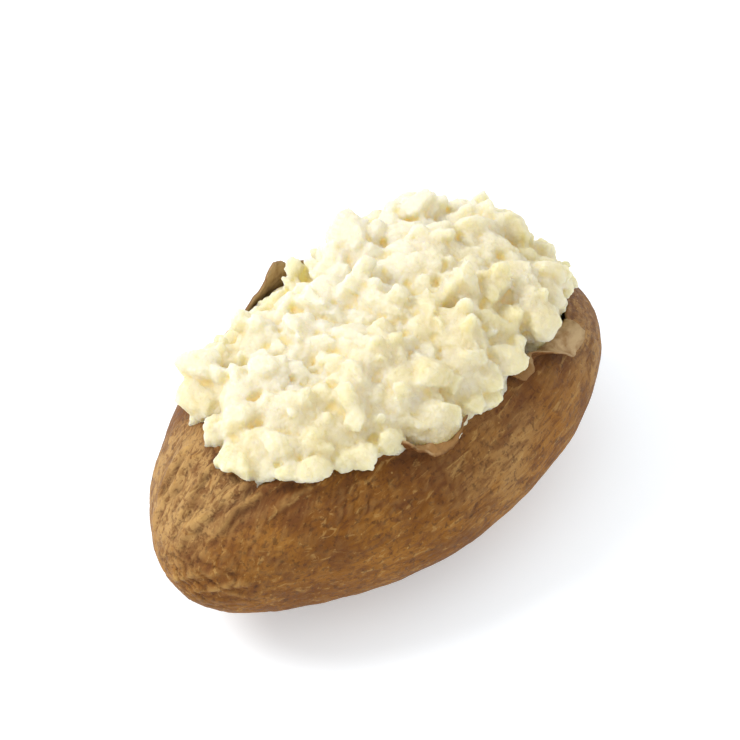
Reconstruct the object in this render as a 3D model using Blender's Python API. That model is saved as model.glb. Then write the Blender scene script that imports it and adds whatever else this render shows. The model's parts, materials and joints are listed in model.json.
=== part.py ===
"""A baked potato, split open along its top, with its fluffed flesh heaped up out of the skin.

Metres, +Z up. The origin is on the flat spot that the potato rests on, under the middle of its box,
and +X runs along the potato towards its fuller end. The opening faces up.

Two solids: the skin, a thin jacket with a ragged lip and torn flaps, and the flesh, which fills the
jacket and rises out of it as a lumpy heap that spills over the lip in places.
"""

import math
from collections import namedtuple

import bmesh
import bpy
from mathutils import Vector, noise

# The whole potato before it was opened.
HALF_LENGTH = 0.0658
HALF_WIDTH = 0.0383
HALF_HEIGHT = 0.0268
FULLER_END = 0.12  # how much wider than the middle the +X end's half of the ellipse is
BLUNT_ENDS = 0.93  # under 1 makes the two ends blunter than an ellipse's
REST_DEPTH = 0.0011  # how far the base is pressed flat where the potato rests

# The jacket.
WALL = 0.0014
LIP_WALL = 0.0009  # the wall thins towards its torn lip
RAGGED = 0.0011  # height of the lip's small tears
LIP_LATITUDE = math.radians(44)  # how high on the potato the opening's edge lies
LOW_SIDE_DROP = math.radians(18)  # the opening reaches lower at the +X end and the +Y side
LOW_SIDE_MIDDLE = math.radians(36)
LOW_SIDE_HALF_WIDTH = math.radians(104)
LOW_SIDE_RAMP = math.radians(22)
LIP_HEIGHT = 0.0016  # the narrow band of skin that stands free of the flesh

# The heap.
GAP = 0.0003  # clearance between flesh and skin
HEAP_TOP = 0.0590
HEAP_TOP_ALONG = 0.008  # how far the top lies from the middle of the opening, towards +X
HEAP_TOP_ACROSS = -0.003
HEAP_SPILL = 0.0030  # how far the heap bulges out over the lip
NECK_CLEARANCE = 0.0010  # how far past the free band's tip the flesh turns outwards over it
CREST_TURN = math.radians(122)  # the flesh leaves a rolled flap where it has turned this far
LUMP_SIZE = 0.0150
LUMP_DEPTH = 0.0044

# Mesh fineness.
SEGMENTS = 72
WALL_RINGS = 12
LIP_RINGS = 4
NECK_RINGS = 3
HEAP_RINGS = 17

# Hollows (negative) and swellings of the potato's side: where, in half-sizes along X, Y and Z, and by
# what share of the distance from the middle.
Swelling = namedtuple("Swelling", "toward share")
SWELLINGS = (
    Swelling((-0.85, -0.77, -0.37), -0.19),
    Swelling((-0.31, -0.97, -0.51), 0.11),
    Swelling((-1.00, -0.46, -0.51), 0.08),
    Swelling((0.65, -0.77, -0.29), 0.04),
    Swelling((0.92, -0.46, 0.00), 0.06),
    Swelling((0.92, 0.13, 0.37), -0.16),
)
SWELLING_SPREAD = 0.2

# Flaps of torn skin along the lip: the bearing of each one's middle, half its angular width, how far
# it reaches past the lip, and how far it rolls outwards over that reach.
Flap = namedtuple("Flap", "bearing half_width reach roll")
FLAPS = (
    Flap(math.radians(-58), math.radians(17), 0.0085, math.radians(130)),
    Flap(math.radians(-101), math.radians(10), 0.0030, math.radians(35)),
    Flap(math.radians(36), math.radians(16), 0.0120, math.radians(20)),
    Flap(math.radians(80), math.radians(16), 0.0110, math.radians(25)),
    Flap(math.radians(112), math.radians(12), 0.0080, math.radians(20)),
)

# Where the heap hangs further out over the lip than elsewhere, or less far, by bearing.
Spill = namedtuple("Spill", "bearing half_width out")
SPILLS = (
    Spill(math.radians(178), math.radians(16), 0.0020),
    Spill(math.radians(-84), math.radians(14), 0.0030),
    Spill(math.radians(-58), math.radians(17), -0.0030),
    Spill(math.radians(-5), math.radians(26), -0.0010),
    Spill(math.radians(36), math.radians(18), -0.0020),
    Spill(math.radians(100), math.radians(40), -0.0040),
)


def start_empty():
    for obj in list(bpy.data.objects):
        bpy.data.objects.remove(obj)


def material(name, colour, roughness):
    made = bpy.data.materials.new(name)
    made.use_nodes = True
    shader = made.node_tree.nodes["Principled BSDF"]
    shader.inputs["Base Color"].default_value = (*colour, 1.0)
    shader.inputs["Roughness"].default_value = roughness
    shader.inputs["Metallic"].default_value = 0.0
    return made


def bell(bearing, middle, half_width):
    """1 at middle, falling smoothly to 0 half a width away, round the circle."""
    away = abs((bearing - middle + math.pi) % math.tau - math.pi) / half_width
    return 0.5 + 0.5 * math.cos(math.pi * away) if away < 1 else 0.0


def body_point(bearing, latitude):
    """A point of the potato's outside. Bearing turns about Z from +X; latitude rises from the middle."""
    way = Vector((
        math.cos(bearing) * math.cos(latitude),
        math.sin(bearing) * math.cos(latitude),
        math.sin(latitude),
    ))
    swollen = 1.0
    for swelling in SWELLINGS:
        toward = Vector(swelling.toward).normalized()
        swollen += swelling.share * math.exp((way.dot(toward) - 1) / SWELLING_SPREAD)
    way *= swollen
    along = math.copysign(abs(way.x) ** BLUNT_ENDS, way.x)
    return Vector((
        HALF_LENGTH * along,
        HALF_WIDTH * way.y * (1 + FULLER_END * along),
        HALF_HEIGHT * (1 + way.z * (1 + FULLER_END / 2 * along)) - REST_DEPTH,
    ))


def outward(bearing, latitude):
    """The surface's normal and its upward tangent at a point of the outside."""
    step = 0.01
    round_way = body_point(bearing + step, latitude) - body_point(bearing - step, latitude)
    up_way = body_point(bearing, latitude + step) - body_point(bearing, latitude - step)
    return round_way.cross(up_way).normalized(), up_way.normalized()


def foot_latitude(bearing):
    """The latitude at which the outside meets the resting plane."""
    low, high = -math.pi / 2, 0.0
    for _ in range(40):
        middle = (low + high) / 2
        if body_point(bearing, middle).z < 0:
            low = middle
        else:
            high = middle
    return high


def ragged(bearing, seed):
    """Tears along the lip, from -1 to 1."""
    return noise.fractal(
        Vector((4.2 * math.cos(bearing), 4.2 * math.sin(bearing), seed)), 0.7, 2.1, 3
    )


def lip_latitude(bearing):
    away = abs((bearing - LOW_SIDE_MIDDLE + math.pi) % math.tau - math.pi)
    low = min(1.0, max(0.0, (LOW_SIDE_HALF_WIDTH - away) / LOW_SIDE_RAMP))
    low *= low * (3 - 2 * low)
    return LIP_LATITUDE - LOW_SIDE_DROP * low + math.radians(1.6) * ragged(bearing, 5.0)


def lip_reach_and_roll(bearing):
    """How far the free band of skin reaches past the flesh, and how far it rolls outwards."""
    reach = LIP_HEIGHT + RAGGED * ragged(bearing, 1.0)
    roll = math.radians(14) + math.radians(16) * ragged(bearing, 9.0)
    for flap in FLAPS:
        share = bell(bearing, flap.bearing, flap.half_width)
        reach += flap.reach * share
        roll += flap.roll * share
    return max(reach, 0.0006), roll


def lip_path(bearing, reach, roll, share):
    """A point of the free band and the outward normal there, share of the way to its tip."""
    latitude = lip_latitude(bearing)
    normal, up_way = outward(bearing, latitude)
    place = body_point(bearing, latitude)
    steps = 12
    for step in range(steps):
        turned = roll * share * (step + 0.5) / steps
        place += reach * share / steps * (up_way * math.cos(turned) + normal * math.sin(turned))
    turned = roll * share
    return place, normal * math.cos(turned) - up_way * math.sin(turned)


def ring(place_at):
    """One closed ring of points, one for each bearing."""
    return [place_at(math.tau * i / SEGMENTS) for i in range(SEGMENTS)]


def wall_ring(share, inset):
    """A ring round the jacket, share of the way from foot to lip, inset from the outside."""
    def place_at(bearing):
        latitude = foot_latitude(bearing) * (1 - share) + lip_latitude(bearing) * share
        normal, _ = outward(bearing, latitude)
        place = body_point(bearing, latitude) - normal * inset
        if share == 0:
            place.z = inset
        return place
    return ring(place_at)


def lip_ring(share, inset):
    def place_at(bearing):
        reach, roll = lip_reach_and_roll(bearing)
        place, normal = lip_path(bearing, reach, roll, share)
        return place - normal * inset
    return ring(place_at)


def loft(name, rings, finish, top=None):
    """A closed body through the rings, its first ring and its last filled, or brought to a top point."""
    mesh = bmesh.new()
    loops = [[mesh.verts.new(place) for place in points] for points in rings]
    for below, above in zip(loops, loops[1:]):
        for i in range(SEGMENTS):
            j = (i + 1) % SEGMENTS
            mesh.faces.new((below[i], below[j], above[j], above[i]))
    mesh.faces.new(list(reversed(loops[0])))
    if top is None:
        mesh.faces.new(loops[-1])
    else:
        summit = mesh.verts.new(top)
        for i in range(SEGMENTS):
            mesh.faces.new((loops[-1][i], loops[-1][(i + 1) % SEGMENTS], summit))
    data = bpy.data.meshes.new(name)
    mesh.to_mesh(data)
    mesh.free()
    data.materials.append(finish)
    data.shade_smooth()
    obj = bpy.data.objects.new(name, data)
    bpy.context.scene.collection.objects.link(obj)
    return obj


def make_skin():
    """The jacket: up its outside, over the torn lip, and down its inside to a flat inner base."""
    outside = [wall_ring(i / WALL_RINGS, 0.0) for i in range(WALL_RINGS + 1)]
    lip_outside = [lip_ring((i + 1) / LIP_RINGS, 0.0) for i in range(LIP_RINGS)]
    lip_inside = [lip_ring((LIP_RINGS - i) / LIP_RINGS, LIP_WALL) for i in range(LIP_RINGS)]
    inside = []
    for i in range(WALL_RINGS + 1):
        share = 1 - i / WALL_RINGS
        inside.append(wall_ring(share, LIP_WALL + (WALL - LIP_WALL) * min(1.0, 6 * (1 - share))))
    finish = material("baked_skin", (0.27, 0.145, 0.065), 0.55)
    return loft("potato_skin", outside + lip_outside + lip_inside + inside, finish)


def spill(bearing):
    """How far the heap bulges out past the inside of the lip."""
    out = HEAP_SPILL + 0.0015 * ragged(bearing, 13.0)
    for place in SPILLS:
        out += place.out * bell(bearing, place.bearing, place.half_width)
    return out


def lumps(place):
    """Relief of rounded lumps: 1 at the middle of a lump and below 0 in the creases between lumps."""
    coarse = noise.voronoi(place / LUMP_SIZE)[0][0]
    fine = noise.voronoi(place / LUMP_SIZE * 1.8 + Vector((3, 7, 1)))[0][0]
    return 1 - 1.1 * coarse ** 2 - 0.5 * fine ** 2


def neck_ring(share):
    """A ring up the inside of the free band, share of the way to where the flesh clears it."""
    def place_at(bearing):
        reach, roll = lip_reach_and_roll(bearing)
        clear = min(1 + NECK_CLEARANCE / reach, CREST_TURN / max(roll, 0.001))
        place, normal = lip_path(bearing, reach, roll, clear * share)
        return place - normal * (LIP_WALL + 2 * GAP)
    return ring(place_at)


def brow_ring():
    """The ring where the flesh has cleared the skin: out over a plain lip, or above a rolled flap."""
    def place_at(bearing):
        reach, roll = lip_reach_and_roll(bearing)
        clear = min(1 + NECK_CLEARANCE / reach, CREST_TURN / max(roll, 0.001))
        place, normal = lip_path(bearing, reach, roll, clear)
        if clear < 1:
            return place - normal * (LIP_WALL + 2 * GAP + NECK_CLEARANCE)
        return place - normal * GAP
    return ring(place_at)


def make_flesh():
    """The flesh: up the inside of the jacket, past the lip, out over it and up over the heap."""
    inside = [wall_ring(i / (WALL_RINGS - 1), WALL + GAP) for i in range(WALL_RINGS)]
    neck = [neck_ring((i + 1) / NECK_RINGS) for i in range(NECK_RINGS)]
    brow = brow_ring()
    middle = Vector((sum(p.x for p in brow), sum(p.y for p in brow), 0)) / SEGMENTS
    top = Vector((middle.x + HEAP_TOP_ALONG, middle.y + HEAP_TOP_ACROSS, HEAP_TOP))
    top_relief = Vector((0, 0, LUMP_DEPTH * (lumps(top) - 0.5)))

    def heap_ring(share):
        """A ring of the heap. Share 0 is the brow and 1 the top."""
        points = []
        for i, start in enumerate(brow):
            out = Vector((start.x - middle.x, start.y - middle.y, 0))
            reach = out.length + spill(math.tau * i / SEGMENTS)
            turned = share * math.pi / 2
            rise = math.sin(turned) ** 0.9
            place = middle.lerp(top, rise) + out.normalized() * reach * math.cos(turned) ** 0.85
            place.z = start.z + (HEAP_TOP - start.z) * rise
            relief = LUMP_DEPTH * (lumps(place) - 0.5) * min(1.0, 3 * share)
            facing = Vector((out.x / reach, out.y / reach, 0.4 + 1.4 * rise)).normalized()
            place += facing * relief
            place.z = max(place.z, start.z + GAP)
            points.append(place)
        return points

    heap = [heap_ring(i / HEAP_RINGS) for i in range(1, HEAP_RINGS)]
    finish = material("fluffed_flesh", (0.86, 0.76, 0.46), 0.6)
    return loft("potato_flesh", inside + neck + [brow] + heap, finish, top + top_relief)


def centre_on_base(objects):
    """Moves the solids together so that the middle of their box is over the origin."""
    places = [v.co for obj in objects for v in obj.data.vertices]
    shift = Vector([
        -(min(p[axis] for p in places) + max(p[axis] for p in places)) / 2 for axis in range(2)
    ] + [-min(p.z for p in places)])
    for obj in objects:
        for vertex in obj.data.vertices:
            vertex.co += shift


start_empty()
centre_on_base([make_skin(), make_flesh()])
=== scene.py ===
import json
import math

import bmesh
import bpy
import numpy as np
from mathutils import Matrix, Quaternion, Vector, noise
from mathutils.bvhtree import BVHTree

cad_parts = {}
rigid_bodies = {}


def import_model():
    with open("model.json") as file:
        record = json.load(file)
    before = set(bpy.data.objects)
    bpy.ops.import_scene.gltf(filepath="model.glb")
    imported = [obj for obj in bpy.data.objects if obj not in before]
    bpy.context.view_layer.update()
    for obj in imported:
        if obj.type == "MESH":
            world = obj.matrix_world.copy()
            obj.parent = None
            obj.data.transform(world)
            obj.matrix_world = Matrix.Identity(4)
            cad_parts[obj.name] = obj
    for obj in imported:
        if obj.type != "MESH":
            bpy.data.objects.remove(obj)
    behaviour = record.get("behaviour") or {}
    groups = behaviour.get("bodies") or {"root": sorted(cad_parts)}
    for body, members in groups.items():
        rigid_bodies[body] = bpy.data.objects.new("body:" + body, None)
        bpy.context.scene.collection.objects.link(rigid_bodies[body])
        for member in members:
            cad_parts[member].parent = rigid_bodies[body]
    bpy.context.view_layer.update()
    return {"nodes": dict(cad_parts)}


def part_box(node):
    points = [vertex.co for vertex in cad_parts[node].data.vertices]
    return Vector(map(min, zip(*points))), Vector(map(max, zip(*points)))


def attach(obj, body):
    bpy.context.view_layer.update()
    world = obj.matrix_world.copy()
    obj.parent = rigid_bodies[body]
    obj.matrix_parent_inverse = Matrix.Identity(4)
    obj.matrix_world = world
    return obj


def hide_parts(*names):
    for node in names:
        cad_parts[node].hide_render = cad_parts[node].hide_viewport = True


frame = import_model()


# ---------------------------------------------------------------- table top and daylight
# A white table top that runs out of sight, under one broad soft light from the left and a bright,
# even room. The shade it leaves is a soft grey pool close round the potato.
SIGHT_BEARING = math.radians(-56.5)
SIGHT_LIFT = math.radians(42.0)
SIGHT_DISTANCE = 0.571
SIGHT_AIM = Vector((0.0021, 0.0011, 0.0371))
to_camera = Vector((
    math.sin(SIGHT_BEARING) * math.cos(SIGHT_LIFT),
    -math.cos(SIGHT_BEARING) * math.cos(SIGHT_LIFT),
    math.sin(SIGHT_LIFT),
))
rightwards = Vector((math.cos(SIGHT_BEARING), math.sin(SIGHT_BEARING), 0))
away = Vector((-math.sin(SIGHT_BEARING), math.cos(SIGHT_BEARING), 0))


def look_along(obj, direction):
    obj.rotation_euler = direction.to_track_quat("-Z", "Y").to_euler()


def add_camera():
    lens = bpy.data.cameras.new("camera")
    lens.lens = 125
    lens.sensor_width = 36
    lens.clip_start = 0.01
    camera = bpy.data.objects.new("camera", lens)
    bpy.context.scene.collection.objects.link(camera)
    camera.location = SIGHT_AIM + to_camera * SIGHT_DISTANCE
    look_along(camera, -to_camera)
    bpy.context.scene.camera = camera


def add_soft_light(name, toward, distance, width, watts, colour):
    lamp = bpy.data.lights.new(name, "AREA")
    lamp.shape = "DISK"
    lamp.size = width
    lamp.energy = watts
    lamp.color = colour
    light = bpy.data.objects.new(name, lamp)
    bpy.context.scene.collection.objects.link(light)
    light.location = SIGHT_AIM + toward.normalized() * distance
    look_along(light, -toward)


def add_table_top(half_side):
    mesh = bpy.data.meshes.new("table_top")
    corners = [(x * half_side, y * half_side, 0) for x, y in ((-1, -1), (1, -1), (1, 1), (-1, 1))]
    mesh.from_pydata(corners, [], [(0, 1, 2, 3)])
    white = bpy.data.materials.new("white_table_top")
    white.use_nodes = True
    shader = white.node_tree.nodes["Principled BSDF"]
    shader.inputs["Base Color"].default_value = (0.80, 0.84, 0.88, 1)
    shader.inputs["Roughness"].default_value = 0.9
    shader.inputs["Specular IOR Level"].default_value = 0.1
    shader.inputs["Emission Color"].default_value = (0.97, 0.99, 1, 1)
    shader.inputs["Emission Strength"].default_value = 0.33
    mesh.materials.append(white)
    table_top = bpy.data.objects.new("table_top", mesh)
    bpy.context.scene.collection.objects.link(table_top)


def brighten_room(strength):
    room = bpy.data.worlds.new("bright_room")
    room.use_nodes = True
    sky = room.node_tree.nodes["Background"]
    sky.inputs["Color"].default_value = (1.0, 1.0, 1.0, 1)
    sky.inputs["Strength"].default_value = strength
    bpy.context.scene.world = room


bpy.context.scene.view_settings.view_transform = "Standard"
add_camera()
add_table_top(half_side=3.0)
brighten_room(strength=0.96)
add_soft_light(
    "window", toward=-0.95 * rightwards - 0.05 * away + Vector((0, 0, 1)),
    distance=1.0, width=0.46, watts=6.4, colour=(1.0, 0.985, 0.96),
)


# ---------------------------------------------------------------- skin jacket
# The skin of a large russet potato, dried and browned in the oven: a papery shell about 1.4 mm
# thick, pulled open along the top. It has shrunk into folds at the corner of the opening.
HALF_LENGTH = 0.0658
HALF_WIDTH = 0.0383
HALF_HEIGHT = 0.0268
FULLER_END = 0.12
BLUNT_ENDS = 0.93
REST_DEPTH = 0.0011
SWELLING_SPREAD = 0.2
# Where the potato bulges or falls in: the way there, and how much of its size that adds.
SWELLINGS = (
    ((-0.85, -0.77, -0.37), -0.19),
    ((-0.31, -0.97, -0.51), 0.11),
    ((-1.00, -0.46, -0.51), 0.08),
    ((0.65, -0.77, -0.29), 0.04),
    ((0.92, -0.46, 0.00), 0.06),
    ((0.92, 0.13, 0.37), -0.16),
)
SKIN_WALL = 0.0014
LIP_WALL = 0.0007
LIP_WALL_CHANGE = 0.00015
LINING_GAP = 0.0006
FOOT_ROWS = 8
WALL_ROWS = 112
BAND_ROWS = 14
INNER_ROWS = 14
AROUND = 600


def unit(v):
    return v / np.linalg.norm(v, axis=-1, keepdims=True)


def round_the_circle(bearing, middle):
    """How far each bearing lies from the middle, the short way round, with its sign."""
    return (bearing - middle + math.pi) % math.tau - math.pi


def bell(bearing, middle, half_width):
    """1 at the middle, falling smoothly to 0 half a width away. Angles in degrees."""
    away_share = np.abs(round_the_circle(bearing, math.radians(middle))) / math.radians(half_width)
    return np.where(away_share < 1, 0.5 + 0.5 * np.cos(np.pi * np.minimum(away_share, 1)), 0)


def smooth_step(low, high, value):
    share = np.clip((value - low) / (high - low), 0, 1)
    return share * share * (3 - 2 * share)


# How fast finer features fade in rough noise, and how much finer each is than the one before.
FINER_FADE = 0.8
FINER_STEP = 2.1


def shift_of(seed):
    """Each seed looks at another part of the endless noise."""
    return Vector((seed * 3.7, seed * 1.3, seed * 2.1))


def noise_at(places, size, seed):
    """Smooth noise, about -1 to 1, with features of that size, at each place."""
    shift = shift_of(seed)
    flat = [noise.noise(Vector(place) / size + shift) for place in places.reshape(-1, 3)]
    return np.array(flat).reshape(places.shape[:-1])


def three_noises_at(places, size, seed):
    """A smooth random offset at each place."""
    return np.stack([noise_at(places, size, seed + k) for k in range(3)], axis=-1)


def rough_noise_at(places, size, seed, octaves=4):
    """Noise with finer and finer features, as torn or crumbled food has."""
    shift = shift_of(seed)
    flat = [
        noise.fractal(Vector(place) / size + shift, FINER_FADE, FINER_STEP, octaves)
        for place in places.reshape(-1, 3)
    ]
    return np.array(flat).reshape(places.shape[:-1])


def potato_outside(bearing, latitude):
    """Points of the whole potato. Bearing turns from +X, and latitude rises from its middle."""
    way = np.stack([
        np.cos(bearing) * np.cos(latitude),
        np.sin(bearing) * np.cos(latitude),
        np.sin(latitude),
    ], axis=-1)
    swollen = np.ones(way.shape[:-1])
    for toward, share in SWELLINGS:
        swollen += share * np.exp((way @ unit(np.array(toward)) - 1) / SWELLING_SPREAD)
    way = way * swollen[..., None]
    along = np.sign(way[..., 0]) * np.abs(way[..., 0]) ** BLUNT_ENDS
    return np.stack([
        HALF_LENGTH * along,
        HALF_WIDTH * way[..., 1] * (1 + FULLER_END * along),
        HALF_HEIGHT * (1 + way[..., 2] * (1 + FULLER_END / 2 * along)) - REST_DEPTH,
    ], axis=-1)


def outward_and_up(bearing, latitude):
    """The potato's outward normal, and the way up along its surface."""
    step = 0.01
    round_way = potato_outside(bearing + step, latitude) - potato_outside(bearing - step, latitude)
    up_way = potato_outside(bearing, latitude + step) - potato_outside(bearing, latitude - step)
    return unit(np.cross(round_way, up_way)), unit(up_way)


def foot_latitude(bearing):
    """Where the potato's side meets the table."""
    low = np.full_like(bearing, -math.pi / 2)
    high = np.zeros_like(bearing)
    for _ in range(40):
        middle = (low + high) / 2
        below = potato_outside(bearing, middle)[..., 2] < 0
        low = np.where(below, middle, low)
        high = np.where(below, high, middle)
    return high


def on_circle(bearing):
    return np.stack([np.cos(bearing), np.sin(bearing), 0 * bearing], axis=-1)


# The opening's edge, all in degrees: its latitude along the near side, how far it drops over the
# low stretch, the middle of that stretch, and how far from there it starts and ends its climb.
NEAR_LIP = 44.5
LOW_LIP_DROP = 19
LOW_LIP_MIDDLE = 36
LOW_LIP_ENDS = (82, 104)
# Bearing, half width and rise of each bend in that edge. It sags under the fold and the flap.
LIP_BENDS = ((-150, 30, 2.5), (-102, 28, -8), (-66, 20, -11))


def lip_latitude(bearing):
    """The opening's edge: high along the near side, low at the +X end and along the far side."""
    away_from_low = np.abs(round_the_circle(bearing, math.radians(LOW_LIP_MIDDLE)))
    starts, ends = np.radians(LOW_LIP_ENDS)
    low = 1 - smooth_step(starts, ends, away_from_low)
    circle = on_circle(bearing)
    tears = 1.2 * rough_noise_at(circle, 0.24, 5) + 0.8 * rough_noise_at(circle, 0.06, 6)
    latitude = NEAR_LIP - LOW_LIP_DROP * low + tears
    for middle, half_width, rise in LIP_BENDS:
        latitude = latitude + rise * bell(bearing, middle, half_width)
    return np.radians(latitude)


# Flaps of torn skin: bearing and half width in degrees, reach in metres, roll in degrees. A flap
# turns over within the first part of its reach and then lies straight. In order: the front flap,
# the raised fold, the loose strip between them, three that stand up along the far side, and a
# small one at the low end.
TURNED_WITHIN = 0.45
FLAPS = (
    (-64, 13, 0.0082, 184),
    (-109, 20, 0.0062, 118),
    (-79, 7, 0.0068, 176),
    (35, 18, 0.0175, 12),
    (80, 15, 0.0078, 25),
    (112, 11, 0.0080, 20),
    (-166, 7, 0.0020, -10),
)
BAND_REACH = 0.0013
BAND_TEARS = 0.0007
BAND_ROLL = 10
BAND_ROLL_CHANGE = 14
BAND_STEPS = 16
SHORTEST_BAND = 0.0005
FLAP_TEARS = 0.18


def free_band(bearing):
    """How far the free edge of the skin reaches past the flesh, and how far it rolls outwards."""
    tears = rough_noise_at(on_circle(bearing), 0.10, 1, 5)
    ragged = 1 + FLAP_TEARS * tears
    reach = BAND_REACH + BAND_TEARS * tears
    change = rough_noise_at(on_circle(bearing), 0.3, 9)
    roll = np.radians(BAND_ROLL + BAND_ROLL_CHANGE * change)
    for middle, half_width, length, turn in FLAPS:
        reach = reach + length * bell(bearing, middle, half_width) ** 0.8 * ragged
        roll = roll + math.radians(turn) * bell(bearing, middle, half_width * 1.1)
    return np.maximum(reach, SHORTEST_BAND), roll


def band_point(bearing, reach, roll, share):
    """A point of the free band and its outward normal, share of the way to the torn edge."""
    latitude = lip_latitude(bearing)
    normal, up_way = outward_and_up(bearing, latitude)
    place = potato_outside(bearing, latitude)
    for step in range(BAND_STEPS):
        turned = roll * np.minimum(share * (step + 0.5) / BAND_STEPS / TURNED_WITHIN, 1)
        turned = turned[..., None]
        onwards = up_way * np.cos(turned) + normal * np.sin(turned)
        place = place + (reach * share / BAND_STEPS)[..., None] * onwards
    turned = (roll * min(share / TURNED_WITHIN, 1))[..., None]
    return place, normal * np.cos(turned) - up_way * np.sin(turned)


def near(places, centre, spread):
    """1 close to a place given in millimetres, fading out over the spread."""
    offset = (places - np.array(centre) / 1000) / (spread / 1000)
    return np.exp(-(offset ** 2).sum(axis=-1))


# How far folds wander, as a share of their spacing, and how narrow their creases are.
FOLD_WANDER = 0.45
FOLD_NARROWNESS = 3.6


def folds(places, along, spacing, length, seed):
    """Creases that run along a direction: 0 on the flats, rising to 1 in the creases."""
    along = unit(np.array(along, dtype=float))
    moved = places + FOLD_WANDER * spacing * three_noises_at(places, spacing * 2.2, seed)
    run = moved @ along
    squeezed = (moved - run[..., None] * along) / spacing + run[..., None] * along / length
    ridges = np.abs(noise_at(squeezed, 1.0, seed + 7))
    return np.clip(1 - ridges * FOLD_NARROWNESS, 0, 1) ** 1.5


# Creases where the skin shrank: points along each in millimetres, then its width and depth.
CREASES = (
    (((-57, 14, 31), (-54, 13, 37), (-48, 12, 41)), 0.9, 1.3),
    (((-58, 8, 32), (-54, 7, 38), (-50, 6, 42)), 1.0, 1.7),
    (((-59, 4, 32), (-55, 1, 38), (-49, -3, 42)), 1.0, 1.8),
    (((-57, -2, 35), (-52, -5, 40), (-44, -10, 43)), 1.0, 1.8),
    (((-55, -8, 34), (-49, -10, 39), (-41, -14, 42)), 0.9, 1.3),
    (((-61, 9, 27), (-61, 5, 32), (-58, 3, 36)), 0.9, 1.2),
    (((-64, 4, 25), (-64, 0, 28), (-62, -4, 29)), 0.8, 1.2),
    (((-63, -1, 24), (-62, -5, 26), (-60, -9, 27)), 0.8, 1.1),
    (((-54, 17, 35), (-50, 17, 38), (-46, 16, 41)), 0.9, 1.0),
)
CREASE_WANDER = 0.0009
# The trough and the ridge beside it as shares of a crease's depth, then how far away the ridge is
# and how wide, as shares of the crease's width.
TROUGH_SHARE = 0.80
RIDGE_SHARE = 0.60
RIDGE_AWAY = 2.0
RIDGE_WIDTH = 1.3


def crease_relief(places, points, width, depth):
    """A trough along a bent line, with the skin pushed up into a ridge on its upper side."""
    width, depth = width / 1000, depth / 1000
    points = np.array(points) / 1000
    moved = places + CREASE_WANDER * three_noises_at(places, 0.0055, 200)
    nearest = np.full(places.shape[:-1], 1.0)
    side = np.zeros(places.shape[:-1])
    for start, end in zip(points[:-1], points[1:]):
        run = end - start
        share = np.clip(((moved - start) @ run) / (run @ run), 0, 1)
        offset = moved - start - share[..., None] * run
        distance = np.linalg.norm(offset, axis=-1)
        upper = offset @ unit(np.cross(unit(run), unit(start)))
        side = np.where(distance < nearest, upper, side)
        nearest = np.minimum(nearest, distance)
    trough = np.exp(-(nearest / width) ** 2)
    ridge = np.exp(-((nearest - RIDGE_AWAY * width) / (RIDGE_WIDTH * width)) ** 2)
    ridge = ridge * (0.5 + 0.5 * np.tanh(-side / width * 2))
    return depth * (RIDGE_SHARE * ridge - TROUGH_SHARE * trough)


# Noise in the skin's relief: height and size in metres, and seed. The grain is stretched along
# the potato.
DENTS = ((0.00045, 0.016, 21), (0.00022, 0.006, 22))
GRAIN = ((0.00010, 0.0016, 23), (0.00006, 0.0008, 24))
GRAIN_STRETCH = (0.35, 1.0, 1.0)
DEEPEST_RELIEF = 0.0015


def layered_noise(places, layers):
    return sum(height * noise_at(places, size, seed) for height, size, seed in layers)


def skin_relief(places):
    """Height of the skin's own relief in metres: broad dents, a fine grain, folds and creases."""
    relief = layered_noise(places, DENTS)
    relief += layered_noise(places * np.array(GRAIN_STRETCH), GRAIN)
    shoulder = near(places, (-53, 1, 39), 12) + 0.8 * near(places, (-53, 13, 37), 8)
    shoulder = np.clip(shoulder, 0, 1)
    long_folds = folds(places, (0.69, -0.57, 0.45), 0.0038, 0.016, 31)
    fine_folds = folds(places, (0.75, -0.40, 0.50), 0.0017, 0.006, 41)
    relief -= shoulder * (0.0003 * long_folds + 0.00028 * fine_folds)
    relief += shoulder * 0.0003 * noise_at(places, 0.0045, 51)
    close = near(places, (-55, 2, 36), 24) > 0.05
    for points, width, depth in CREASES:
        relief[close] += crease_relief(places[close], points, width, depth)
    puckers = near(places, (-34, -19, 42), 9) + 0.7 * near(places, (-12, -28, 41), 12)
    relief -= puckers * 0.0006 * folds(places, (0.2, -0.5, 0.8), 0.0022, 0.006, 61)
    lower_end = near(places, (-62, -1, 27), 10)
    relief -= lower_end * 0.0006 * folds(places, (0.1, -0.9, -0.3), 0.0024, 0.008, 71)
    everywhere = 0.00026 * folds(places * np.array([0.6, 1, 1]), (1, 0, 0), 0.004, 0.012, 81)
    relief -= everywhere * smooth_step(-0.2, 0.5, noise_at(places, 0.018, 82))
    return np.where(relief < 0, -DEEPEST_RELIEF * np.tanh(-relief / DEEPEST_RELIEF), relief)


# Rows over which the relief rises from the foot, the share of the wall over which its troughs
# fade towards the lip and how much of them goes, and how many rows and columns the lining looks
# round for the deepest one.
SETTLING_ROWS = 10
TROUGHS_FADE = (0.86, 0.96)
TROUGHS_LOST = 0.75
ROWS_BESIDE = 8
COLUMNS_BESIDE = 4


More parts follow.
